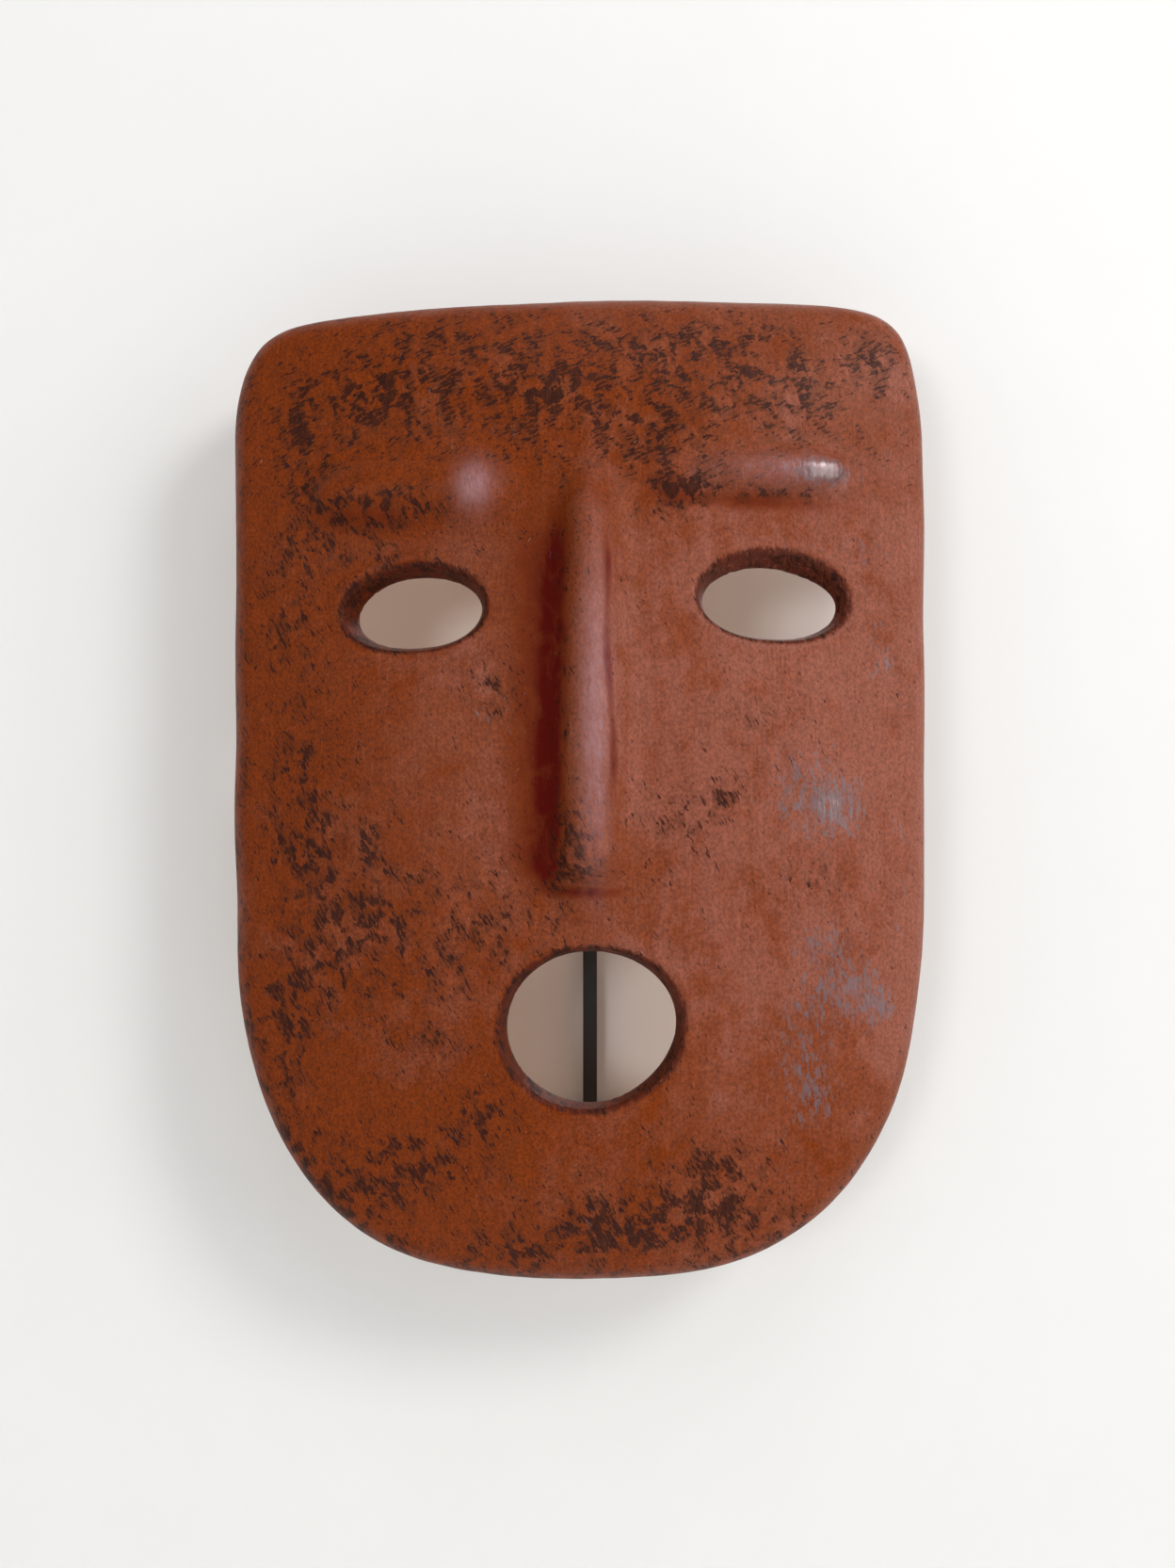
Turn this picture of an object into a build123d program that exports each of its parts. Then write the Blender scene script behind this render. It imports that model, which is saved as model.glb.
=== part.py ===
from build123d import *
from math import cos, exp, hypot, pi, sin
import os

# A fired clay wall mask and the steel bracket that carries it.
# +Z is up and the face looks along -Y.  The wall is the plane Y = 0, and the origin is
# midway between the two screw holes of the main wall plate.

# Outline of the face, seen from the front
OUTLINE_X = -3.4            # the outline's middle is a little left of the nose
HALF_WIDTH = 116.6
WIDEST_Z = -28.0
CROWN_RISE = 190.4          # widest level up to the top edge
CHIN_DROP = 136.2           # widest level down to the chin
SHOULDER_POWER = 12.0       # squarish top corners
HOLLOW_POWER = 8.5          # the same inside, where they are rounder
CHIN_POWER = 2.6            # rounder chin
SHOULDER_DROP = 7.0         # the left top corner sags
OUTLINE_STEPS = 80

# The curved slab
RIM_Y = -22.0               # back of the rim, clear of the wall
EDGE_DEPTH = 15.0           # slab depth at the very corners
CROWN_DEPTH = 30.0          # extra depth in the middle
DOME_HALF_WIDTH = 132.0
DOME_HALF_HEIGHT = 184.0
FOREHEAD_SWELL = 5.0
CHEEK_SWELL = 2.5
EYE_SINK = 4.0
WALL = 8.0
LIP_INSET = 14.0            # the rim is turned in, wider than the wall
LIP_DEPTH = 5.0
LIP_TOP_Z = 148.5
HOLLOW_TOP_Z = 155.5
EDGE_ROUND = 9.0            # front edge, worn round by the potter's hands
HOLLOW_ROUND = 5.0

# Nose, brows and holes
NOSE_TOP_Z = 88.0
NOSE_BOTTOM_Z = -17.0
NOSE_TOP_HALF_WIDTH = 9.0
NOSE_BOTTOM_HALF_WIDTH = 12.0
NOSE_RISE = 14.0
BROW_HALF_LENGTH = 29.0
BROW_HALF_HEIGHT = 7.5
BROW_RISE = 5.0
BROWS = ((-56.5, 96.5), (50.5, 100.0))
EYES = ((-55.7, 57.0, 19.3, 4.0), (58.5, 60.5, 21.3, -2.0))
EYE_HALF_HEIGHT = 10.9
EYE_FLARE = 3.2             # how much wider each hole is at the front
MOUTH = (0.2, -75.8)
MOUTH_HALF_WIDTH = 26.0
MOUTH_HALF_HEIGHT = 23.7
MOUTH_FLARE = 2.6

# Bracket
BAR = 5.0                   # square bar, and diameter of the round rods
PLATE = (44.0, 3.0, 30.0)
PLATE_CORNER = 4.0
SCREW_HOLE_D = 4.5
SCREW_SPACING = 28.0
FOOT_PLATE_Z = -130.0
ROD_Y = -PLATE[1] - BAR / 2
HOOK_X = 40.0
SLEEVE_R = 3.5
HOOK_Z = LIP_TOP_Z - SLEEVE_R - 0.2
HOOK_BEND_Y = -29.0
HOOK_TIP = 4.5              # how far the tip runs on, forwards and upwards
COLLAR_R = 6.5
COLLAR_LENGTH = 10.0
FOOT_X = 45.0
FOOT_Z = -152.0
BUFFER_R = 6.0
BUFFER_LENGTH = 11.0
ROD_BEND_R = 7.0


def swell(x, z, width, height):
    """A smooth round rise of height one."""
    return exp(-((x / width) ** 2) - (z / height) ** 2)


def slab_depth(x, z):
    """How far the front of the slab stands off the plane of the rim."""
    across = 1 - (abs(x - OUTLINE_X) / DOME_HALF_WIDTH) ** 2.2
    along = 1 - (abs(z) / DOME_HALF_HEIGHT) ** 4
    depth = EDGE_DEPTH + CROWN_DEPTH * across * along
    depth += FOREHEAD_SWELL * swell(x, z - 132, 80, 26)
    for side in (-1, 1):
        depth -= EYE_SINK * swell(x - side * 58, z - 64, 36, 24)
        depth += CHEEK_SWELL * swell(x - side * 66, z + 22, 34, 44)
    return depth


def inner_depth(x, z):
    """The same for the back of the slab, one wall thickness behind the front."""
    step = 1.0
    slope_x = (slab_depth(x + step, z) - slab_depth(x - step, z)) / (2 * step)
    slope_z = (slab_depth(x, z + step) - slab_depth(x, z - step)) / (2 * step)
    return slab_depth(x, z) - WALL * hypot(1, slope_x, slope_z)


def outline(inset, rise, shoulder_power, drop=0.0):
    """Closed face outline drawn on the XZ plane through the rim."""
    points = []
    for i in range(OUTLINE_STEPS):
        angle = 2 * pi * i / OUTLINE_STEPS
        up = sin(angle) > 0
        power = shoulder_power if up else CHIN_POWER
        half_height = rise if up else CHIN_DROP - inset
        reach = (abs(cos(angle)) / (HALF_WIDTH - inset)) ** power
        reach += (abs(sin(angle)) / half_height) ** power
        radius = reach ** (-1 / power)
        x = OUTLINE_X + radius * cos(angle)
        z = WIDEST_Z + radius * sin(angle)
        if up and x < 0:
            z -= drop * (-x / HALF_WIDTH) ** 1.2 * sin(angle) ** 4
        points.append((x, RIM_Y, z))
    return make_face(Spline(*points, periodic=True))


def under(depth_at):
    """Everything behind a surface given by its depth over the rim plane."""
    rows = []
    for j in range(37):
        z = -180 + 10 * j
        rows.append([(x, RIM_Y - depth_at(x, z), z) for x in range(-134, 135, 12)])
    skin = Face.make_surface_from_array_of_points(rows, tol=0.02)
    return extrude(skin, amount=120, dir=(0, 1, 0))


def oval_hole(x, z, half_width, half_height, flare, spin=0.0):
    """Cutter for an oval hole that widens towards the front."""
    tilt = 0.07 * x
    centre = Location((x, RIM_Y - slab_depth(x, z), z), (90, 0, tilt))
    outside = 12.0
    wider = flare * (WALL + outside) / WALL
    near = Ellipse(half_width, half_height)
    far = Ellipse(half_width + wider, half_height + wider)
    cone = loft([Pos(0, 0, -WALL) * near, Pos(0, 0, outside) * far])
    sleeve = extrude(Pos(0, 0, -WALL) * near, amount=-16)
    return centre * Rot(0, 0, spin) * (cone + sleeve)


def nose():
    """A long bar, wider at the bottom, with rounded ends."""
    half_depth = NOSE_RISE + 4
    y = RIM_Y - slab_depth(0, NOSE_BOTTOM_Z) + 4
    ends = []
    for z, half in ((NOSE_BOTTOM_Z, NOSE_BOTTOM_HALF_WIDTH), (NOSE_TOP_Z, NOSE_TOP_HALF_WIDTH)):
        ends.append((z, half, Pos(0, y, z) * Ellipse(half, half_depth)))
    bar = loft([ends[0][2], ends[1][2]])
    for z, half, section in ends:
        bar += Pos(0, y, z) * scale(Sphere(1), by=(half, half_depth, half))
    return bar


def brow(x, z):
    """A short clay roll lying on the slab."""
    side = 1 if x > 0 else -1
    roll = scale(Sphere(1), by=(BROW_HALF_LENGTH, BROW_RISE + 3, BROW_HALF_HEIGHT))
    return Pos(x, RIM_Y - slab_depth(x, z) + 3, z) * Rot(0, 0, side * 13) * roll


def round_front(solid, radius):
    """Round over the edge that runs round the front of a solid."""
    return fillet(solid.edges().sort_by(Axis.Y)[0], radius)


def mask_shell():
    front = under(slab_depth)
    back = under(inner_depth)
    face = outline(0, CROWN_RISE, SHOULDER_POWER, SHOULDER_DROP)
    slab = extrude(face, amount=80, dir=(0, -1, 0)) & front
    lip_rise = LIP_TOP_Z - WIDEST_Z
    hollow_rise = HOLLOW_TOP_Z - WIDEST_Z
    lip = extrude(outline(LIP_INSET, lip_rise, HOLLOW_POWER), amount=LIP_DEPTH, dir=(0, -1, 0))
    hollow = extrude(outline(WALL, hollow_rise, HOLLOW_POWER), amount=80, dir=(0, -1, 0))
    hollow = round_front((Pos(0, -LIP_DEPTH, 0) * hollow) & back, HOLLOW_ROUND)
    shell = round_front(slab, EDGE_ROUND) + nose()
    for x, z in BROWS:
        shell += brow(x, z)
    shell -= hollow + (lip & back)
    for x, z, half_width, spin in EYES:
        shell -= oval_hole(x, z, half_width, EYE_HALF_HEIGHT, EYE_FLARE, spin)
    return shell - oval_hole(*MOUTH, MOUTH_HALF_WIDTH, MOUTH_HALF_HEIGHT, MOUTH_FLARE)


def rod(points, radius=BAR / 2):
    """Round rod bent along a line of points."""
    path = FilletPolyline(*points, radius=ROD_BEND_R)
    return sweep(Plane(origin=path @ 0, z_dir=path % 0) * Circle(radius), path=path)


def hook_tip(x, beyond=0.0):
    run = HOOK_TIP + beyond
    return (x, HOOK_BEND_Y - run, HOOK_Z + run)


def hook_yoke():
    left = [hook_tip(-HOOK_X), (-HOOK_X, HOOK_BEND_Y, HOOK_Z), (-HOOK_X, ROD_Y, HOOK_Z)]
    right = [(-x, y, z) for x, y, z in reversed(left)]
    return rod(left + right)


def foot_yoke():
    left = [(-FOOT_X, RIM_Y + 5, FOOT_Z), (-FOOT_X, ROD_Y, FOOT_Z)]
    right = [(-x, y, z) for x, y, z in reversed(left)]
    return rod(left + right)


def along_y(x, y_front, z, radius, length):
    """Cylinder along Y with its front end at y_front."""
    return Pos(x, y_front + length / 2, z) * Rot(90, 0, 0) * Cylinder(radius, length)


def sleeve(x, yoke):
    """Rubber sleeve: thin over the hook, and a thick collar behind the clay rim."""
    path = [(x, RIM_Y + COLLAR_LENGTH, HOOK_Z), (x, HOOK_BEND_Y, HOOK_Z), hook_tip(x, 1.5)]
    collar = along_y(x, RIM_Y + 0.05, HOOK_Z, COLLAR_R, COLLAR_LENGTH)
    return rod(path, SLEEVE_R) + collar - yoke


def buffer(x, yoke):
    """Rubber cap on the end of the foot yoke, against the back of the chin rim."""
    return along_y(x, RIM_Y + 0.05, FOOT_Z, BUFFER_R, BUFFER_LENGTH) - yoke


def wall_plate(z):
    width, thick, height = PLATE
    face = RectangleRounded(width, height, PLATE_CORNER)
    for side in (-1, 1):
        face -= Pos(side * SCREW_SPACING / 2, 0) * Circle(SCREW_HOLE_D / 2)
    return Pos(0, 0, z) * Rot(90, 0, 0) * extrude(face, amount=thick)


def spine_bar(rods):
    """Upright square bar, hollowed at both ends to sit on the round rods."""
    top = HOOK_Z - 1.2
    bottom = FOOT_Z + 1.2
    bar = Pos(0, ROD_Y, (top + bottom) / 2) * Box(BAR, BAR, top - bottom)
    for yoke in rods:
        bar -= yoke
    return bar


def save(name, shape):
    export_step(shape, f"parts/{name}.step")


os.makedirs("parts", exist_ok=True)
hooks = hook_yoke()
foot = foot_yoke()
save("mask_shell", mask_shell())
save("spine_bar", spine_bar((hooks, foot)))
save("hook_yoke", hooks)
save("foot_yoke", foot)
save("plate_main", wall_plate(0))
save("plate_foot", wall_plate(FOOT_PLATE_Z))
for name, side in (("left", -1), ("right", 1)):
    save(f"sleeve_{name}", sleeve(side * HOOK_X, hooks))
    save(f"buffer_{name}", buffer(side * FOOT_X, foot))
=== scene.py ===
import bpy
import math
import numpy as np
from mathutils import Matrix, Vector


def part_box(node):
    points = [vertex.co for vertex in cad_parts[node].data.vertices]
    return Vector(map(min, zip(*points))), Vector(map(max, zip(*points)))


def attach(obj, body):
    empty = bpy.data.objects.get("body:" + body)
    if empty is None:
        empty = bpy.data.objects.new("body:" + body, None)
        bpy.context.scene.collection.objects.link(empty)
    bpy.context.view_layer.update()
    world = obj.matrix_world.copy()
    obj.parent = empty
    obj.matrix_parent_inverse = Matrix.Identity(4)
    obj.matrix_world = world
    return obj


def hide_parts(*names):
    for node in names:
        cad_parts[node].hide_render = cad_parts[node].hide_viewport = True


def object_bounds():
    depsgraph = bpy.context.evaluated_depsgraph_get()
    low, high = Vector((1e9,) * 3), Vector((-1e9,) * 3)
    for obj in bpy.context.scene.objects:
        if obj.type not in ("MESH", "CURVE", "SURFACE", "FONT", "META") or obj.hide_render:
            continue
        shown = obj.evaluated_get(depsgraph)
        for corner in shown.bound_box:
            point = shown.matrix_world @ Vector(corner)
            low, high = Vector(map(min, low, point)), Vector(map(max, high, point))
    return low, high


# A burnished clay wall mask on its bracket.  Sculpting is done in millimetres, then
# scaled to metres.  +Z is up, the face looks along -Y and the wall is at Y = 0.

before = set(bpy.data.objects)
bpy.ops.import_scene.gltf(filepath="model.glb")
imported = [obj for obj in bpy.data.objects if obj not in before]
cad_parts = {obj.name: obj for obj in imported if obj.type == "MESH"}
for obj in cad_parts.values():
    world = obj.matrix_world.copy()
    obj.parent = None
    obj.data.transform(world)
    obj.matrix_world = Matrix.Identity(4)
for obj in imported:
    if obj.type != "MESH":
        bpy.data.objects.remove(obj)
cad_box = [list(corner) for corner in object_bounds()]
mask_low, mask_high = [np.array(corner) * 1000 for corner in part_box("mask_shell")]

# ------------------------------------------------------------------ the clay's shape
STEP = 1.25
MOST_TRIANGLES = 190000
HOLE_MARGIN = 7.0           # the mesh stays fine this close to a hole
MARGIN = 0.6                # room left inside the CAD box for the hand-made unevenness
MIDDLE_X = (mask_low[0] + mask_high[0]) / 2
HALF_WIDTH = (mask_high[0] - mask_low[0]) / 2 - MARGIN
RIM_Y = mask_high[1]
WIDEST_Z = -28.0
TOP_Z = mask_high[2] - MARGIN
CHIN_DROP = WIDEST_Z - mask_low[2] - MARGIN
SHOULDER_POWER = 12.0
HOLLOW_POWER = 8.5
CHIN_POWER = 2.6
SHOULDER_DROP = 7.0
EDGE_ROUND = 8.0
WALL = 8.0
LIP_INSET = 14.0
LIP_DEPTH = 5.0
LIP_TOP_Z = 148.6
HOLLOW_TOP_Z = 155.5

# The curve of the slab: it bulges in the middle, the forehead and the cheeks swell out a
# little and the eyes lie a little deeper.
EDGE_DEPTH = 15.0           # slab depth at the very corners
CROWN_DEPTH = 30.0          # extra depth in the middle
DOME_HALF_WIDTH = 132.0
DOME_HALF_HEIGHT = 184.0
FOREHEAD_SWELL = 5.0
EYE_SINK = 4.0
CHEEK_SWELL = 2.5

# The nose roll; its half sizes at the bottom, and how much less they are at the top.
NOSE_X = -0.6
NOSE_TOP_Z = 74.0
NOSE_BOTTOM_Z = -18.5
NOSE_SUNK = 4.5             # how deep the roll's axis lies under the slab's front
NOSE_HALF_WIDTH, NOSE_NARROWER = 12.2, 3.0
NOSE_HALF_DEPTH, NOSE_FLATTER = 18.0, 2.2
NOSE_TOP_RUN = 25.0         # the top runs out long and soft
NOSE_BOTTOM_RUN = 12.0
SEAM_X = 7.2                # the open seam at the nose's right side
SEAM_DEPTH = 1.0
SEAM_WIDTH = 1.2

# Rolls over the eyes: middle, the point of the slab they lie on, slope, how deep they are
# sunk, and half sizes along, out and up.
LEFT_BROW = ((-57.0, 95.5), (-57.0, 95.0), 0.04, 3.6, (29, 7.3, 8.5))
BROW_KNOB = ((-35.5, 94.0), (-36.0, 94.0), 0.0, 4.5, (10, 9.0, 8.5))
RIGHT_BROW = ((50.5, 100.0), (50.0, 100.0), 0.085, 3.0, (30, 7.6, 6.8))

# The hand's unevenness, in millimetres.
EDGE_WAVE = 0.4
FRONT_WAVE = 0.4
FINE_WAVE = 0.12
BACK_WAVE = 0.6
LEFT_BULGE = 1.3            # of the edge below the left top corner
RIGHT_DENT = 1.5            # of the edge near the right top corner
HOLE_LIP = 0.45             # clay pushed up round each hole

# Holes: centre and half sizes at the back, how far the front rim is shifted and how much wider
# it is, turn in degrees, and the angle round the rim where dark wax and painted shade are thickest.
EYE_LEFT = ((-55.0, 56.4), (19.3, 10.9), (-1.2, 0.7), (3.7, 2.9), 4, 95)
EYE_RIGHT = ((58.2, 59.4), (21.2, 10.9), (0.7, 1.9), (3.3, 3.5), -2, 50)
MOUTH = ((0.3, -75.9), (26.0, 23.7), (-0.2, 0.3), (3.0, 2.2), 0, -40)
HOLES = (EYE_LEFT, EYE_RIGHT, MOUTH)


def swell(x, z, width, height):
    return np.exp(-((x / width) ** 2) - (z / height) ** 2)


def ramp(value, low, high):
    """Smooth step from nought at low to one at high."""
    t = np.clip((value - low) / (high - low), 0, 1)
    return t * t * (3 - 2 * t)


def round_max(a, b, radius):
    """Intersection with a rounded edge."""
    u = np.maximum(a + radius, 0)
    v = np.maximum(b + radius, 0)
    return np.minimum(np.maximum(a, b), -radius) + np.hypot(u, v)


def smooth_min(a, b, width):
    """Union with a soft fillet."""
    h = np.clip(0.5 + 0.5 * (b - a) / width, 0, 1)
    return b + (a - b) * h - width * h * (1 - h)


def waves(x, y, z, length, seed):
    """Gentle unevenness, as a hand leaves it, between about -1 and 1."""
    rng = np.random.default_rng(seed)
    total = 0
    for _ in range(7):
        direction = rng.normal(size=3)
        direction *= 2 * np.pi / (length * np.linalg.norm(direction) * rng.uniform(0.7, 1.5))
        total = total + np.sin(direction @ np.array([x, y, z]).reshape(3, -1) + rng.uniform(0, 6.3))
    return (total / 3.5).reshape(np.shape(x))


def outline_distance(x, z, inset, top_z, shoulder_power, drop=0.0):
    """About how far a point lies outside the face outline."""
    across = np.abs(x - MIDDLE_X) / (HALF_WIDTH - inset)
    up = z > WIDEST_Z
    rise = top_z - WIDEST_Z
    sag = drop * np.maximum(-x / HALF_WIDTH, 0) ** 1.2 * ramp(z, WIDEST_Z, top_z)
    reach = np.where(up, rise, CHIN_DROP - inset)
    power = np.where(up, shoulder_power, CHIN_POWER)
    along = np.abs(z - WIDEST_Z + np.where(up, sag, 0)) / reach
    size = (across**power + along**power + 1e-9) ** (1 / power)
    slope = np.hypot(across ** (power - 1) / (HALF_WIDTH - inset), along ** (power - 1) / reach)
    return (size - 1) / (slope * size ** (1 - power) + 1e-6)


def slab_depth(x, z):
    """How far the front of the slab stands off the plane of the rim."""
    across = 1 - (np.abs(x - MIDDLE_X) / DOME_HALF_WIDTH) ** 2.2
    along = 1 - (np.abs(z) / DOME_HALF_HEIGHT) ** 4
    depth = EDGE_DEPTH + CROWN_DEPTH * across * along
    depth = depth + FOREHEAD_SWELL * swell(x, z - 132, 80, 26)
    for side in (-1, 1):
        depth = depth - EYE_SINK * swell(x - side * 58, z - 64, 36, 24)
        depth = depth + CHEEK_SWELL * swell(x - side * 66, z + 22, 34, 44)
    return depth


def surface_distance(x, z, depth):
    """Distance in front of the slab's front surface."""
    here = slab_depth(x, z)
    slope_x = slab_depth(x + 1, z) - here
    slope_z = slab_depth(x, z + 1) - here
    return (depth - here) / np.sqrt(1 + slope_x**2 + slope_z**2)


def oval(u, v, w, a, b, c):
    """About the distance outside an ellipsoid with half sizes a, b and c."""
    size = np.sqrt((u / a) ** 2 + (v / b) ** 2 + (w / c) ** 2) + 1e-9
    slope = np.sqrt((u / a**2) ** 2 + (v / b**2) ** 2 + (w / c**2) ** 2) + 1e-9
    return (size - 1) * size / slope


def nose(x, z, depth):
    """A long roll that runs out softly into the forehead."""
    t = np.clip((z - NOSE_BOTTOM_Z) / (NOSE_TOP_Z - NOSE_BOTTOM_Z), 0, 1)
    run = z - np.clip(z, NOSE_BOTTOM_Z, NOSE_TOP_Z)
    cap = np.where(run > 0, NOSE_TOP_RUN, NOSE_BOTTOM_RUN)
    base = slab_depth(0, NOSE_BOTTOM_Z) - NOSE_SUNK
    half_width = NOSE_HALF_WIDTH - NOSE_NARROWER * t
    half_depth = NOSE_HALF_DEPTH - NOSE_FLATTER * t
    return oval(x - NOSE_X, depth - base, run, half_width, half_depth, cap)


def roll(x, z, depth, row):
    """One clay roll lying half sunk in the slab."""
    middle, foot, slope, sunk, half = row
    out = depth - slab_depth(*foot) + sunk
    up = z - middle[1] - slope * (x - foot[0])
    return oval(x - middle[0], out, up, *half)


def hole(x, z, below, row):
    """Distance outside an oval hole, at a depth below the slab's front; wider at the front."""
    centre, half, shift, flare, turn, _ = row
    t = 1 - np.clip(below, -4, WALL) / WALL
    u, v = x - centre[0] - shift[0] * t, z - centre[1] - shift[1] * t
    turn = math.radians(turn)
    u, v = u * math.cos(turn) + v * math.sin(turn), v * math.cos(turn) - u * math.sin(turn)
    angle = np.arctan2(v, u)
    seed = centre[0]
    wobble = 1 + 0.015 * np.sin(2 * angle + seed) + 0.012 * np.sin(3 * angle + 2.1 * seed)
    return oval(u, v, 0, (half[0] + flare[0] * t) * wobble, (half[1] + flare[1] * t) * wobble, 1)


def groove_depth(x, z):
    """The open seam down the right of the nose, where the roll was pressed on."""
    line = SEAM_X - 0.03 * (z + 7) + 0.5 * np.sin(z / 9.0)
    length = ramp(z, -12, 8) * (1 - ramp(z, 70, 86))
    ragged = 0.75 + 0.25 * np.sin(z / 5.0)
    return SEAM_DEPTH * swell(x - line, 0 * z, SEAM_WIDTH, 1) * length * ragged


def face_front(x, z, depth):
    """Distance in front of the whole modelled face."""
    front = surface_distance(x, z, depth)
    left_brow = smooth_min(roll(x, z, depth, LEFT_BROW), roll(x, z, depth, BROW_KNOB), 6)
    front = smooth_min(front, left_brow, 9)
    front = smooth_min(front, roll(x, z, depth, RIGHT_BROW), 6)
    front = smooth_min(front, nose(x, z, depth), 9)
    return front + groove_depth(x, z)


def clay(x, y, z):
    """Signed distance to the fired clay body, negative inside."""
    depth = RIM_Y - y
    below = slab_depth(x, z) - depth
    edge = outline_distance(x, z, 0, TOP_Z, SHOULDER_POWER, SHOULDER_DROP)
    edge = edge + EDGE_WAVE * waves(x, 0 * y, z, 50, 8)
    edge = edge - LEFT_BULGE * swell(x + 118, z - 127, 40, 20)
    edge = edge + RIGHT_DENT * swell(x - 112, z - 140, 40, 15)
    front = face_front(x, z, depth) - FRONT_WAVE * waves(x, y, z, 46, 3)
    front = front - FINE_WAVE * waves(x, y, z, 11, 4)
    holes = [hole(x, z, below, row) for row in HOLES]
    for distance in holes:
        front = front - HOLE_LIP * swell(distance - 2.6, 0, 1.6, 1)
    body = round_max(edge, front, EDGE_ROUND)
    back = surface_distance(x, z, depth) + WALL - BACK_WAVE * waves(x, y, z, 30, 5)
    hollow = round_max(outline_distance(x, z, WALL, HOLLOW_TOP_Z, HOLLOW_POWER), back, 7)
    hollow = round_max(hollow, LIP_DEPTH - depth, 1.5)
    opening = round_max(outline_distance(x, z, LIP_INSET, LIP_TOP_Z, HOLLOW_POWER), back, 5)
    hollow = smooth_min(hollow, opening, 2)
    body = round_max(body, -depth, 2.2)
    body = round_max(body, -hollow, 2.2)
    for distance in holes:
        body = round_max(body, -distance, 0.9 + 1.1 * ramp(below, 3, 6))
    return body


def surface_net(distance, low, high, step):
    """Quads round the zero level of a distance function."""
    axes = [np.arange(a - 2 * step, b + 3 * step, step) for a, b in zip(low, high)]
    grid = np.meshgrid(*axes, indexing="ij")
    value = distance(*grid)
    inside = value < 0
    shape = tuple(n - 1 for n in value.shape)

    def corner(array, i, j, k):
        return array[i:i + shape[0], j:j + shape[1], k:k + shape[2]]

    cube = [(i, j, k) for i in (0, 1) for j in (0, 1) for k in (0, 1)]
    filled = sum(corner(inside, *c).astype(int) for c in cube)
    active = (filled > 0) & (filled < 8)
    index = np.full(shape, -1)
    index[active] = np.arange(active.sum())
    total = np.zeros((active.sum(), 3))
    count = np.zeros(active.sum())
    for a in cube:
        for axis in range(3):
            if a[axis]:
                continue
            b = tuple(c + (n == axis) for n, c in enumerate(a))
            va, vb = corner(value, *a)[active], corner(value, *b)[active]
            cut = (va < 0) != (vb < 0)
            place = np.tile(np.array(a, float), (len(va), 1))
            place[:, axis] = np.where(cut, va / np.where(cut, va - vb, 1), 0)
            total[cut] += place[cut]
            count[cut] += 1
    cells = np.argwhere(active)
    start = np.array([a[0] for a in axes])
    points = start + (cells + total / count[:, None]) * step

    quads = []
    for axis in range(3):
        p, q = [n for n in range(3) if n != axis]
        first, second = [slice(None)] * 3, [slice(None)] * 3
        first[axis], second[axis] = slice(0, -1), slice(1, None)
        change = inside[tuple(first)] != inside[tuple(second)]
        at = np.argwhere(change)
        at = at[(at[:, p] > 0) & (at[:, q] > 0)]
        leaving = inside[tuple(at.T)]
        ring = []
        for dp, dq in ((1, 1), (0, 1), (0, 0), (1, 0)):
            cell = at.copy()
            cell[:, p] -= dp
            cell[:, q] -= dq
            ring.append(index[tuple(cell.T)])
        ring = np.array(ring).T
        flip = leaving == (axis == 1)
        ring[flip] = ring[flip][:, ::-1]
        quads.append(ring)
    return points, np.concatenate(quads)


def settle(points, distance, step):
    """Moves points onto the zero level exactly."""
    nudge = 0.15
    for _ in range(3):
        here = distance(*points.T)
        slope = np.empty_like(points)
        for n in range(3):
            moved = points.copy()
            moved[:, n] += nudge
            slope[:, n] = (distance(*moved.T) - here) / nudge
        slope /= np.maximum((slope**2).sum(1, keepdims=True), 0.2)
        points = points - np.clip(here[:, None] * slope, -step / 2, step / 2)
    return points


def new_mesh(name, points, faces):
    mesh = bpy.data.meshes.new(name)
    mesh.from_pydata([tuple(p) for p in points], [], [tuple(int(i) for i in f) for f in faces])
    mesh.update()
    mesh.shade_smooth()
    piece = bpy.data.objects.new(name, mesh)
    bpy.context.collection.objects.link(piece)
    return piece


def thinned(piece, weights, most):
    """Fewer, larger faces where the weights are above nought, until most triangles are left."""
    group = piece.vertex_groups.new(name="plain")
    group.add([int(i) for i in np.flatnonzero(weights)], 1.0, "REPLACE")
    cut = piece.modifiers.new("thin", "DECIMATE")
    cut.ratio = min(1.0, most / (2 * len(piece.data.polygons)))
    cut.vertex_group = "plain"
    seen = piece.evaluated_get(bpy.context.evaluated_depsgraph_get())
    mesh = bpy.data.meshes.new_from_object(seen)
    name = piece.name
    bpy.data.objects.remove(piece)
    made = bpy.data.objects.new(name, mesh)
    bpy.context.collection.objects.link(made)
    mesh.shade_smooth()
    return made


def hole_distance(points):
    """How far each point lies from the wall of the nearest hole."""
    x, y, z = points.T
    below = slab_depth(x, z) - (RIM_Y - y)
    return np.min([hole(x, z, below, row) for row in HOLES], axis=0)


def inner_part(points):
    """One on the unseen inside of the shell, nought on the face, the edge and the holes."""
    x, y, z = points.T
    below = slab_depth(x, z) - (RIM_Y - y)
    edge = outline_distance(x, z, 0, TOP_Z, SHOULDER_POWER, SHOULDER_DROP)
    return ramp(below, 4.5, 6.5) * ramp(-edge, 4, 7) * ramp(hole_distance(points), 0.4, 2.0)


points, quads = surface_net(clay, mask_low, mask_high, STEP)
points = settle(points, clay, STEP)
mask = new_mesh("clay_mask", points / 1000, quads)
plain = (inner_part(points) > 0.9) & (hole_distance(points) > HOLE_MARGIN)
mask = thinned(mask, plain, MOST_TRIANGLES)
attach(mask, "mask")
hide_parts("mask_shell")
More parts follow.
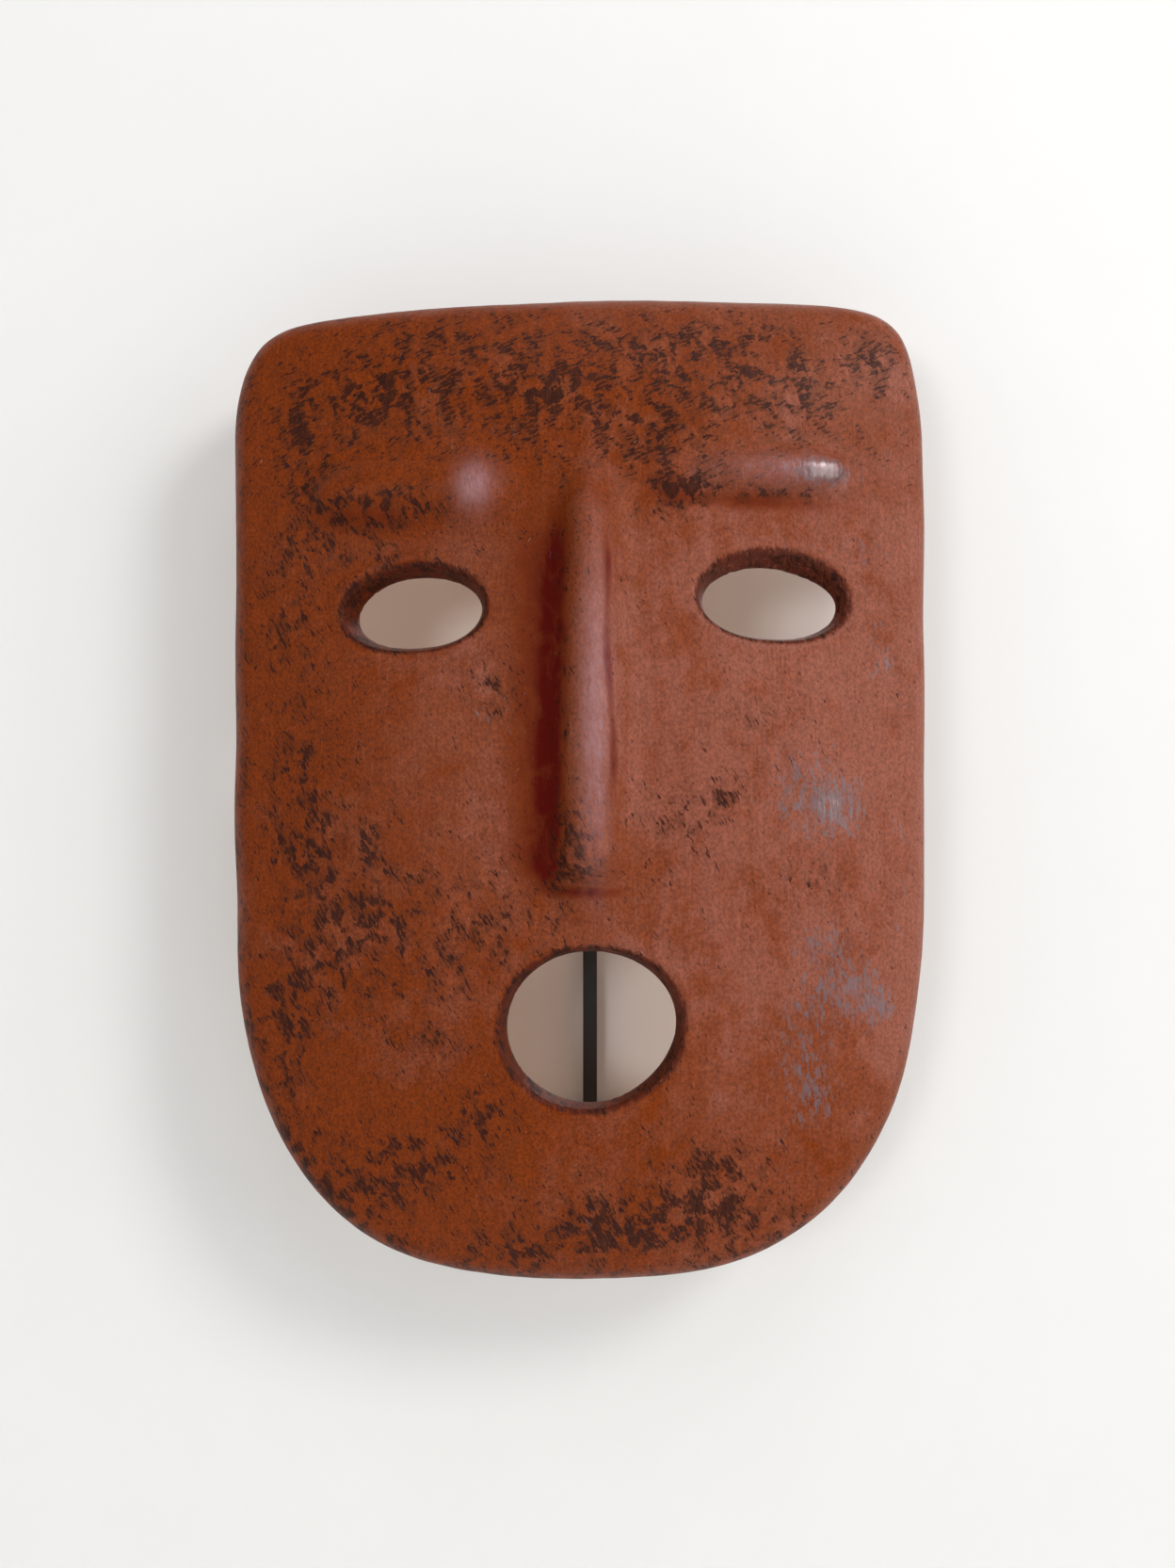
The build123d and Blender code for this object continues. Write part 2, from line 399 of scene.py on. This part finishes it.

# ------------------------------------------------------------------ where the marks, painted shade and painted highlights lie
# Smoke patches, a few of them painted shade under the brows and the nose, and graphite patches,
# partly a painted reflection and highlight, on the face: x, z, half width, half height, strength.
SMOKE_AND_SHADE_PATCHES = (
    (-68, 127, 15, 8, 1.0), (-95, 113, 4, 12, 0.9), (-12, 127, 17, 9, 0.7), (-25, 124, 75, 18, 0.4),
    (29, 140, 22, 10, 0.7), (67, 125, 14, 11, 0.5), (95, 141, 8, 8, 0.6), (-75, 87, 15, 5, 0.8),
    (-55, 91, 9, 4, 0.7), (-66, 74, 11, 6, 0.5), (27, 94, 8, 6, 1.0), (58, 94, 22, 2, 0.7),
    (-98, 56, 9, 18, 0.55), (-95, -4, 8, 20, 0.8), (-89, -20, 8, 8, 0.95), (-70, -16, 4, 9, 0.8),
    (-73, -40, 14, 7, 0.65), (-99, -76, 7, 12, 1.2), (-89, -58, 12, 10, 0.7),
    (-45, -45, 30, 18, 0.45), (-34, -104, 8, 8, 0.9), (-50, -79, 10, 4, 0.7),
    (-59, -121, 15, 8, 1.0), (-77, -134, 14, 12, 0.8),
    (7, -142, 22, 8, 1.05), (42, -121, 8, 6, 1.0), (40, -139, 19, 9, 1.0), (-28, -151, 14, 5, 0.9),
    (29, -13, 12, 12, 0.5), (43, -2, 4, 4, 0.9), (-7, 20, 3, 70, 0.5), (-4, -20, 6, 9, 0.9),
    (-30, 30, 7, 8, 0.7), (48, 22, 12, 10, 0.35), (70, -30, 10, 8, 0.5), (-40, 146, 26, 8, 0.5),
    (-84, 40, 22, 60, 0.2), (-60, -50, 40, 26, 0.2), (0, 118, 100, 30, 0.2), (10, -132, 80, 22, 0.2),
    (-98, -112, 8, 14, 0.8), (62, 140, 30, 8, 0.45), (24, 112, 16, 10, 0.5), (-90, 90, 12, 16, 0.4),
)
# Grey burnished patches whose grey is partly a painted reflection of the lamps; the strongest row,
# at the right brow's end, is a painted highlight.
GRAPHITE_AND_SHEEN_PATCHES = (
    (67, 0, 11, 13, 0.8), (81, -7, 9, 9, 1.0), (96, 41, 5, 9, 0.7), (75, -49, 9, 7, 0.8),
    (84, -65, 10, 9, 1.0), (67, -82, 9, 18, 0.7), (95, -71, 6, 5, 0.7), (73, -100, 7, 9, 0.6),
    (66, 79, 12, 5, 0.35), (-32, 26, 6, 8, 0.4), (102, -20, 4, 22, 0.35), (1.5, 8, 3.2, 30, 0.5),
    (62, 101, 16, 4, 0.5), (75, 101, 7, 2.8, 1.9), (90, 78, 9, 12, 0.3),
)
# Painted lilac highlights where the burnished slip catches the light: the same five values.
HIGHLIGHT_PATCHES = ((1.3, 24, 3.4, 34, 0.75), (-36.5, 95, 4.2, 5.5, 1.0), (62, 101, 15, 4, 0.4))


def patches(rows, x, z):
    total = 0
    for cx, cz, half_w, half_h, strength in rows:
        total = total + strength * swell(x - cx, z - cz, half_w * 1.25, half_h * 1.25)
    return total


def rim_stain_and_shade(x, z):
    """Dark wax and painted shade along one side of each hole's rim."""
    total = 0
    for row in HOLES:
        centre, *_, thickest = row
        distance = hole(x, z, 0 * x, row)
        towards = np.arctan2(z - centre[1], x - centre[0]) - math.radians(thickest)
        total = total + swell(distance + 0.8, 0, 2.3, 1) * (0.6 + 0.4 * np.cos(towards))
    return total


def wax_and_crease_shadows(x, z):
    """Painted shadow and dark red wax beside and under the nose, under the brows and in the seam."""
    length = ramp(z, -36, -22) * (1 - ramp(z, 68, 99))
    core = swell(x + 12.6 - 0.026 * z, 0 * z, 4.3, 1)
    fringe = 0.45 * swell(x + 19, 0 * z, 8.5, 1)
    under_nose = 0.9 * swell(x + 2, z + 32.5, 11, 2.0)
    under_brows = 0.5 * swell(x - 52, z - 91.5, 30, 3.0) + 0.5 * swell(x + 70, z - 86, 22, 4.5)
    under_brows = under_brows + 0.55 * swell(x - 24, z - 96, 7, 6)
    return (core + fringe) * length + under_nose + under_brows + 0.8 * groove_depth(x, z)


def painted_sheen_and_tone(x, z):
    """Painted sheen and light, pinker to the right and beside the nose; browner at crown and chin.
    """
    warm = 0.9 * ramp(x, -125, 125) + 0.35 * swell(x + 38, z - 22, 24, 42)
    return warm + 0.25 * swell(x - 30, z - 15, 34, 50) - 0.30 * ramp(np.abs(z), 70, 120)


def paint_marks(piece):
    """Writes how much of each mark every point carries."""
    points = np.empty(3 * len(piece.data.vertices))
    piece.data.vertices.foreach_get("co", points)
    points = points.reshape(-1, 3) * 1000
    x, y, z = points.T
    below = slab_depth(x, z) - (RIM_Y - y)
    inner = inner_part(points)
    outside = 1 - inner
    wall_of_hole = ramp(below, 2.0, 4.5) * outside
    edge = outline_distance(x, z, 0, TOP_Z, SHOULDER_POWER, SHOULDER_DROP)
    # Painted shade on the slab's side walls.
    side = ramp(below, 4, 10) * ramp(edge, -4, -2)
    # Painted shade along the left and bottom edges, the sides turned from the lamps.
    low_edge_shade = 0.75 * ramp(edge, -10, -1) * np.clip(0.35 - x / 220 - z / 300, 0, 1) * outside
    # Painted shade on the hole walls and rims, with dark wax.
    dark_rim = 0.8 * swell(hole_distance(points) - 0.1, 0, 1.0, 1)
    stain_and_shade = rim_stain_and_shade(x, z) + 0.3 * wall_of_hole * ramp(-edge, 6, 9) + dark_rim
    marks = {
        # Smoke marks plus painted shade on the side walls and along the left and bottom edges.
        "smoke_and_shade": patches(SMOKE_AND_SHADE_PATCHES, x, z) * outside + 0.5 * side + low_edge_shade,
        "graphite_and_sheen": patches(GRAPHITE_AND_SHEEN_PATCHES, x, z) * outside,
        "painted_shine": patches(HIGHLIGHT_PATCHES, x, z) * outside,
        "wax_and_crease_shadow": np.clip(wax_and_crease_shadows(x, z), 0, 1) * outside,
        "stain_and_shade": np.clip(stain_and_shade, 0, 1) * outside,
        # How pink each point is: painted sheen on the right and painted light beside the nose.
        "rosy_sheen_and_tone": painted_sheen_and_tone(x, z),
        "side": side * outside,
        "inner": inner,
    }
    for name, value in marks.items():
        layer = piece.data.attributes.new(name, "FLOAT", "POINT")
        layer.data.foreach_set("value", np.asarray(value, dtype=np.float32))


paint_marks(mask)

# ------------------------------------------------------------------ materials
BROWN_SLIP = (0.180, 0.029, 0.0015)
BRICK_SLIP = (0.205, 0.046, 0.016)
# The pinkest slip is partly a painted sheen from the lamps on the right.
ROSY_SLIP_AND_SHEEN = (0.255, 0.078, 0.048)
# Painted shadow with dark red wax beside and under the nose, under the brows and in the seam.
WAX_AND_SHADOW_FRINGE = (0.150, 0.021, 0.0012)
WAX_AND_SHADOW_CORE = (0.088, 0.0013, 0.0001)
# Dark wax and painted shade round the holes.
RIM_STAIN_AND_SHADE = (0.060, 0.007, 0.0025)
# Haze of fire marks, partly painted shade.
SMOKE_AND_SHADE_HAZE = (0.070, 0.016, 0.004)
PEPPER = (0.045, 0.010, 0.003)
SOOT = (0.022, 0.005, 0.003)
# Painted shade on the slab's side walls.
SIDE_SHADE = (0.060, 0.020, 0.010)
# Grey that is partly a painted reflection, and silver for a painted highlight.
GREY_GRAPHITE_SHEEN = (0.145, 0.128, 0.145)
SILVER_HIGHLIGHT = (0.40, 0.38, 0.39)
# Painted lilac highlight.
LILAC_HIGHLIGHT = (0.34, 0.185, 0.20)
CHIPPED = (0.55, 0.33, 0.22)
RAW_DARK = (0.42, 0.265, 0.185)
RAW_LIGHT = (0.56, 0.39, 0.295)


def node(tree, kind, settings=None, **inputs):
    """Adds a shader node.  An input is a socket to link or a value to set."""
    made = tree.nodes.new("ShaderNode" + kind)
    for key, value in (settings or {}).items():
        setattr(made, key, value)
    for key, value in inputs.items():
        name = int(key[1:]) if key[1:].isdigit() else key.replace("_", " ")
        if isinstance(value, bpy.types.NodeSocket):
            tree.links.new(value, made.inputs[name])
        else:
            made.inputs[name].default_value = value
    return made


def sums(tree, operation, first, second=0.0, third=0.0):
    return node(tree, "Math", {"operation": operation}, i0=first, i1=second, i2=third).outputs[0]


def between(tree, factor, first, second):
    """Mix of two plain values."""
    return node(tree, "Mix", {"data_type": "FLOAT"}, i0=factor, i2=first, i3=second).outputs[0]


def shaded(tree, colour, value):
    """A colour made lighter or darker."""
    grey = node(tree, "CombineColor", None, i0=value, i1=value, i2=value).outputs[0]
    return mixed(tree, 1.0, colour, grey, "MULTIPLY")


def band(tree, value, low, high, bottom=0.0, top=1.0):
    """Smooth step between two levels of a value."""
    made = node(
        tree, "MapRange", {"interpolation_type": "SMOOTHSTEP"},
        i0=value, i1=low, i2=high, i3=bottom, i4=top,
    )
    return made.outputs[0]


def mixed(tree, factor, first, second, way="MIX"):
    """Colour mix; colours are red, green, blue."""
    made = node(tree, "Mix", {"data_type": "RGBA", "blend_type": way}, i0=factor)
    for index, value in ((6, first), (7, second)):
        if isinstance(value, bpy.types.NodeSocket):
            tree.links.new(value, made.inputs[index])
        else:
            made.inputs[index].default_value = (*value, 1)
    return made.outputs[2]


def grain(tree, size, spin=0.0, detail=3.0, rough=0.55, warp=0.0):
    """Noise whose features are size millimetres long in x, y and z, turned by spin degrees."""
    place = node(tree, "TexCoord").outputs["Object"]
    turned = node(
        tree, "Mapping", {"vector_type": "TEXTURE"}, Vector=place,
        Scale=[v / 1000 for v in size], Rotation=(0, math.radians(spin), 0),
    )
    made = node(
        tree, "TexNoise", None, Vector=turned.outputs[0],
        Scale=1.0, Detail=detail, Roughness=rough, Distortion=warp,
    )
    return made.outputs[0]


def mark(tree, name):
    return node(tree, "Attribute", {"attribute_name": name}).outputs["Fac"]


def bumped(tree, layers):
    """Chains bumps; each layer is a height and how many millimetres it is worth."""
    normal = None
    for height, depth in layers:
        extra = {} if normal is None else {"Normal": normal}
        made = node(tree, "Bump", None, Height=height, Distance=depth / 1000, Strength=1.0, **extra)
        normal = made.outputs[0]
    return normal


def start(name):
    made = bpy.data.materials.new(name)
    made.use_nodes = True
    tree = made.node_tree
    return made, tree, tree.nodes["Principled BSDF"]


def clay_colour(tree, cloud, blotch):
    """Iron-red slip: orange-brown on the left, brick red in the middle, a painted pink sheen on the
    right.
    """
    tone = sums(tree, "MULTIPLY_ADD", cloud, 1.7, -0.85)
    tone = sums(tree, "ADD", mark(tree, "rosy_sheen_and_tone"), tone)
    tone = sums(tree, "ADD", tone, sums(tree, "MULTIPLY_ADD", blotch, 1.3, -0.65))
    colour = mixed(tree, band(tree, tone, 0.0, 0.5), BROWN_SLIP, BRICK_SLIP)
    return mixed(tree, band(tree, tone, 0.45, 1.0), colour, ROSY_SLIP_AND_SHEEN)


def clay_specks(tree, blotch):
    """Broken specks and short sooty strokes; they crowd where fire marks and painted shade are
    strong.
    """
    strokes = grain(tree, (0.75, 2, 2.9), spin=-30, detail=3, rough=0.5, warp=0.2)
    slanted = grain(tree, (2.7, 2, 0.8), spin=-25, detail=3, rough=0.5, warp=0.2)
    place = node(tree, "SeparateXYZ", None, Vector=node(tree, "TexCoord").outputs["Object"])
    on_forehead = band(tree, place.outputs[2], 0.080, 0.105)
    flecks = between(tree, on_forehead, strokes, slanted)
    clusters = grain(tree, (4.5, 4.5, 5.5), spin=-20, detail=3, rough=0.6, warp=0.4)
    smoke_and_shade = sums(tree, "ADD", mark(tree, "smoke_and_shade"), 0.16)
    smoke_and_shade = sums(tree, "ADD", smoke_and_shade, sums(tree, "MULTIPLY", mark(tree, "stain_and_shade"), 0.75))
    crowd = sums(tree, "MULTIPLY", smoke_and_shade, band(tree, clusters, 0.38, 0.60, 0.15, 1.4))
    crowd = sums(tree, "MULTIPLY", crowd, band(tree, blotch, 0.35, 0.6, 0.6, 1.15))
    level = sums(tree, "MULTIPLY_ADD", crowd, 0.178, -0.695)
    return band(tree, sums(tree, "ADD", flecks, level), 0.0, 0.035), crowd


def clay_material():
    made, tree, shader = start("burnished_clay")
    cloud = grain(tree, (30, 30, 36), detail=4, rough=0.6)
    blotch = grain(tree, (8, 8, 10), detail=5, rough=0.65, warp=0.4)
    fine = grain(tree, (0.9, 0.9, 1.1), detail=3, rough=0.65)
    brushed = grain(tree, (0.8, 4, 16), detail=3, rough=0.5)
    worn = grain(tree, (1.3, 2, 4.2), spin=-8, detail=5, rough=0.7, warp=0.6)
    inner, side = mark(tree, "inner"), mark(tree, "side")

    colour = clay_colour(tree, cloud, blotch)
    colour = shaded(tree, colour, band(tree, brushed, 0.35, 0.68, 0.93, 1.05))
    colour = shaded(tree, colour, band(tree, fine, 0.35, 0.65, 0.74, 1.15))
    # Painted shadow and dark red wax beside the nose, under it, under the brows and in the seam.
    wax_and_crease_shadow = sums(tree, "MULTIPLY", mark(tree, "wax_and_crease_shadow"), band(tree, blotch, 0.3, 0.62, 0.66, 1.16))
    colour = mixed(tree, band(tree, wax_and_crease_shadow, 0.04, 0.50, 0, 0.85), colour, WAX_AND_SHADOW_FRINGE)
    colour = mixed(tree, band(tree, wax_and_crease_shadow, 0.30, 1.05, 0, 0.97), colour, WAX_AND_SHADOW_CORE)
    # Dark wax and painted shade round the holes.
    stain_and_shade = sums(tree, "MULTIPLY", mark(tree, "stain_and_shade"), band(tree, worn, 0.35, 0.6, 0.5, 1.1))
    colour = mixed(tree, band(tree, stain_and_shade, 0.15, 0.9, 0, 0.85), colour, RIM_STAIN_AND_SHADE)
    black, crowd = clay_specks(tree, blotch)
    # Haze of fire marks, also painted shade at the left and bottom edges and under the brows.
    colour = mixed(tree, band(tree, crowd, 0.12, 1.3, 0, 0.5), colour, SMOKE_AND_SHADE_HAZE)
    pepper = band(tree, grain(tree, (0.6, 0.6, 0.8), detail=1), 0.62, 0.68)
    pepper = sums(tree, "MULTIPLY", pepper, band(tree, mark(tree, "rosy_sheen_and_tone"), 0.1, 0.8, 0.6, 0.15))
    colour = mixed(tree, pepper, colour, PEPPER)
    soot = sums(tree, "MULTIPLY", black, band(tree, worn, 0.35, 0.6, 0.55, 0.92))
    colour = mixed(tree, soot, colour, SOOT)
    # Painted shade on the side walls.
    colour = mixed(tree, sums(tree, "MULTIPLY", side, 0.6), colour, SIDE_SHADE)

    # Graphite patches painted grey as a reflection of the lamps, silver where the painted highlight
    # is strongest.
    level = sums(tree, "MULTIPLY_ADD", mark(tree, "graphite_and_sheen"), 0.22, -0.66)
    graphite_and_sheen = band(tree, sums(tree, "ADD", worn, level), -0.02, 0.12)
    graphite_and_sheen = sums(tree, "MULTIPLY", graphite_and_sheen, band(tree, brushed, 0.3, 0.6, 0.55, 1.0))
    silver_highlight = band(tree, sums(tree, "MULTIPLY", mark(tree, "graphite_and_sheen"), worn), 0.62, 1.0)
    silver_highlight = mixed(tree, silver_highlight, GREY_GRAPHITE_SHEEN, SILVER_HIGHLIGHT)
    colour = mixed(tree, sums(tree, "MULTIPLY", graphite_and_sheen, 0.75), colour, silver_highlight)
    # Painted lilac highlights on the nose ridge, the brow knob and the right brow.
    painted_shine = sums(tree, "MULTIPLY", mark(tree, "painted_shine"), band(tree, worn, 0.32, 0.62, 0.45, 0.85))
    colour = mixed(tree, painted_shine, colour, LILAC_HIGHLIGHT)
    scratch = grain(tree, (0.35, 0.6, 3.2), spin=38, detail=1)
    pale = band(tree, scratch, 0.795, 0.82, 0, 0.5)
    colour = mixed(tree, pale, colour, CHIPPED)
    raw = mixed(tree, blotch, RAW_DARK, RAW_LIGHT)
    colour = mixed(tree, inner, colour, raw)

    rough = band(tree, blotch, 0.3, 0.7, 0.40, 0.52)
    rough = between(tree, wax_and_crease_shadow, rough, 0.85)
    rough = between(tree, graphite_and_sheen, rough, 0.36)
    rough = between(tree, sums(tree, "MAXIMUM", inner, side), rough, 0.8)
    dabs = grain(tree, (13, 13, 10), detail=2)
    normal = bumped(tree, (
        (dabs, 0.55), (blotch, 0.22), (brushed, 0.03), (fine, 0.05), (black, -0.04), (pale, -0.1),
    ))
    shader.inputs["Specular IOR Level"].default_value = 0.10
    tree.links.new(colour, shader.inputs["Base Color"])
    tree.links.new(sums(tree, "MULTIPLY", graphite_and_sheen, 0.35), shader.inputs["Metallic"])
    tree.links.new(rough, shader.inputs["Roughness"])
    tree.links.new(normal, shader.inputs["Normal"])
    return made


def black_paint():
    made, tree, shader = start("black_paint")
    peel = grain(tree, (0.7, 0.7, 0.7), detail=2)
    scuff = grain(tree, (2.5, 2.5, 7), detail=5, rough=0.7)
    worn = band(tree, scuff, 0.62, 0.72, 0, 0.6)
    colour = mixed(tree, worn, (0.004, 0.0035, 0.0035), (0.022, 0.018, 0.016))
    tree.links.new(colour, shader.inputs["Base Color"])
    tree.links.new(band(tree, scuff, 0.3, 0.7, 0.36, 0.55), shader.inputs["Roughness"])
    tree.links.new(bumped(tree, ((peel, 0.03), (worn, -0.02))), shader.inputs["Normal"])
    return made


def rubber(name, dark, light):
    made, tree, shader = start(name)
    dust = grain(tree, (3, 3, 3), detail=5, rough=0.7)
    pores = grain(tree, (0.5, 0.5, 0.5), detail=2)
    colour = mixed(tree, band(tree, dust, 0.45, 0.75), dark, light)
    tree.links.new(colour, shader.inputs["Base Color"])
    tree.links.new(band(tree, dust, 0.3, 0.7, 0.70, 0.88), shader.inputs["Roughness"])
    tree.links.new(bumped(tree, ((pores, 0.03), (dust, 0.05))), shader.inputs["Normal"])
    return made


mask.data.materials.append(clay_material())
paint = black_paint()
sleeve_rubber = rubber("sleeve_rubber", (0.020, 0.020, 0.021), (0.050, 0.048, 0.046))
buffer_rubber = rubber("buffer_rubber", (0.045, 0.038, 0.032), (0.085, 0.075, 0.066))
FINISHES = {
    "spine_bar": paint, "plate_main": paint, "plate_foot": paint,
    "hook_yoke": paint, "foot_yoke": paint,
    "sleeve_left": sleeve_rubber, "sleeve_right": sleeve_rubber,
    "buffer_left": buffer_rubber, "buffer_right": buffer_rubber,
}
for name, finish in FINISHES.items():
    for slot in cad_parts[name].material_slots:
        slot.material = finish

# ------------------------------------------------------------------ wall, floor, light, camera


def pale_material(name, colour, one_sided):
    made, tree, shader = start(name)
    mottle = grain(tree, (60, 60, 60), detail=4)
    tone = mixed(tree, mottle, [v * 0.97 for v in colour], colour)
    tree.links.new(tone, shader.inputs["Base Color"])
    shader.inputs["Roughness"].default_value = 0.9
    shader.inputs["Specular IOR Level"].default_value = 0.1
    if one_sided:
        clear = node(tree, "BsdfTransparent").outputs[0]
        behind = node(tree, "NewGeometry").outputs["Backfacing"]
        both = node(tree, "MixShader", None, i0=behind, i1=shader.outputs[0], i2=clear)
        tree.links.new(both.outputs[0], tree.nodes["Material Output"].inputs[0])
    return made


def panel(name, corners, finish):
    """A flat stage panel; its front is the side its corners run anticlockwise on."""
    mesh = bpy.data.meshes.new(name)
    mesh.from_pydata(corners, [], [(0, 1, 2, 3)])
    mesh.materials.append(finish)
    piece = bpy.data.objects.new(name, mesh)
    bpy.context.collection.objects.link(piece)
    return piece


FLOOR_Z = -0.75
FLOOR = 6                   # half its width
WALL_SIDE = 3               # the wall's half width, and the height of its top
WALL_GAP = 0.0003           # keeps the wall's face clear of the plates' backs
wall_y = cad_box[1][1] + WALL_GAP
wall = panel(
    "wall",
    [(-WALL_SIDE, wall_y, FLOOR_Z), (WALL_SIDE, wall_y, FLOOR_Z),
     (WALL_SIDE, wall_y, WALL_SIDE), (-WALL_SIDE, wall_y, WALL_SIDE)],
    pale_material("wall_paint", (0.80, 0.797, 0.79), True),
)
wall.visible_shadow = False
panel(
    "floor",
    [(-FLOOR, -FLOOR, FLOOR_Z), (FLOOR, -FLOOR, FLOOR_Z),
     (FLOOR, FLOOR, FLOOR_Z), (-FLOOR, FLOOR, FLOOR_Z)],
    pale_material("floor_paint", (0.80, 0.79, 0.77), False),
)


def lamp(name, place, width, power, tint, aim=(0, -0.03, 0)):
    """A soft round lamp aimed at the middle of the mask."""
    light = bpy.data.lights.new(name, "AREA")
    light.shape = "DISK"
    light.size = width
    light.energy = power
    light.color = tint
    made = bpy.data.objects.new(name, light)
    made.location = place
    away = Vector(place) - Vector(aim)
    made.rotation_euler = away.to_track_quat("Z", "Y").to_euler()
    bpy.context.collection.objects.link(made)


lamp("window", (1.05, -1.10, 0.95), 0.5, 12.3, (1.0, 0.99, 0.97))
lamp("right_soft", (2.6, -1.1, 0.4), 2.4, 30.5, (0.97, 0.985, 1.0))
lamp("top_soft", (0.2, -1.2, 2.0), 1.6, 11, (0.99, 0.99, 1.0))
lamp("left_soft", (-2.0, -1.6, 0.1), 1.8, 4, (1.0, 0.985, 0.96))
lamp("room", (-0.75, -1.7, 0.15), 0.5, 7, (1.0, 0.985, 0.96))
lamp("behind", (0.5, 1.3, 0.8), 1.2, 24, (1.0, 1.0, 1.0))

WORLD_TINT = (0.98, 0.99, 1.0, 1)
WORLD_LIGHT = 0.33
world = bpy.data.worlds.new("studio")
world.use_nodes = True
sky = world.node_tree.nodes["Background"]
sky.inputs["Color"].default_value = WORLD_TINT
sky.inputs["Strength"].default_value = WORLD_LIGHT
bpy.context.scene.world = world

# The camera looks straight at the wall from close in front of the mask.
LENS_MM = 29.3
CAMERA_PLACE = (-0.0009, -0.467, 0.0014)
lens = bpy.data.cameras.new("camera")
lens.lens = LENS_MM
lens.clip_start = 0.01
camera = bpy.data.objects.new("camera", lens)
camera.location = CAMERA_PLACE
camera.rotation_euler = (math.radians(90), 0, 0)
bpy.context.collection.objects.link(camera)
bpy.context.scene.camera = camera
bpy.context.scene.view_settings.view_transform = "Standard"
